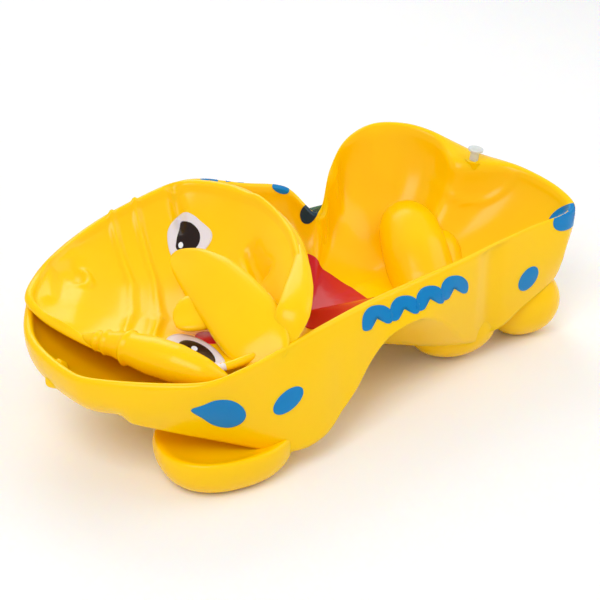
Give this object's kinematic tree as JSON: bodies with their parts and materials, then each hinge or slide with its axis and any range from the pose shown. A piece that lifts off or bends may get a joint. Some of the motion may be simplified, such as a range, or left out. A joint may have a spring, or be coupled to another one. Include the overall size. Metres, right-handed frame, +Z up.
{
  "type": "deflated inflatable ride-on hopper animal",
  "caption": "Inflatable ride-on hopper animal in soft yellow vinyl, let down and collapsed into two boat-like hollows with its head folded in the front one.",
  "frame": {"origin": "centre of the bounding box at floor level", "axes": "+X from the muzzle to the rump, +Y to the far side, +Z up"},
  "size_m": [0.554, 0.283, 0.178],
  "materials": {
    "yellow_vinyl": "soft glossy vinyl",
    "red_paint": "glossy print on vinyl",
    "blue_paint": "glossy print on vinyl",
    "eye_white_paint": "glossy print on vinyl",
    "pupil_paint": "glossy print on vinyl",
    "clear_plug": "translucent moulded plastic"
  },
  "bodies": {
    "body": {"lower_skin_front": "yellow_vinyl", "lower_skin_rear": "yellow_vinyl", "chest_hollow": "yellow_vinyl", "rump_hollow": "yellow_vinyl", "saddle": "red_paint", "tail_disc": "yellow_vinyl", "inverted_leg": "yellow_vinyl", "neck_fold": "yellow_vinyl", "near_band_print": "blue_paint", "far_band_print": "blue_paint", "side_spots": "blue_paint", "rim_spots": "blue_paint", "inner_spot": "blue_paint", "front_near_foot": "yellow_vinyl", "front_far_foot": "yellow_vinyl", "rear_near_foot": "yellow_vinyl", "rear_far_foot": "yellow_vinyl", "near_haunch": "yellow_vinyl", "chin_tab": "yellow_vinyl", "valve_seat": "yellow_vinyl"},
    "head": {"head_back": "yellow_vinyl", "muzzle": "yellow_vinyl", "noseband": "yellow_vinyl", "face_dish": "yellow_vinyl", "cheek_roll": "yellow_vinyl", "near_eye_white": "eye_white_paint", "near_pupil": "pupil_paint", "near_glint": "eye_white_paint", "far_eye_white": "eye_white_paint", "far_pupil": "pupil_paint", "far_glint": "eye_white_paint"},
    "near_ear": {"near_ear": "yellow_vinyl"},
    "far_ear": {"far_ear": "yellow_vinyl"},
    "plug": {"valve_plug": "clear_plug"}
  },
  "joints": [
    {"name": "head_lift", "type": "hinge", "parent": "body", "child": "head", "pos_m": [-0.016, 0.02, 0.104], "axis": [0, 1, 0], "range_deg": [0, 25]},
    {"name": "near_ear_lift", "type": "hinge", "parent": "head", "child": "near_ear", "pos_m": [-0.094, -0.099, 0.142], "axis": [0.9623, 0.272, 0], "range_deg": [0, 40]},
    {"name": "far_ear_lift", "type": "hinge", "parent": "head", "child": "far_ear", "pos_m": [-0.074, 0.002, 0.121], "axis": [-0.1305, 0.9914, 0], "range_deg": [0, 20]},
    {"name": "plug_slide", "type": "slide", "parent": "body", "child": "plug", "axis": [0.1055, -0.061, 0.9925], "range_m": [-0.009, 0.02]}
  ],
  "couplings": [
    {"joint": "far_ear_lift", "follows": "near_ear_lift", "ratio": 0.5}
  ]
}
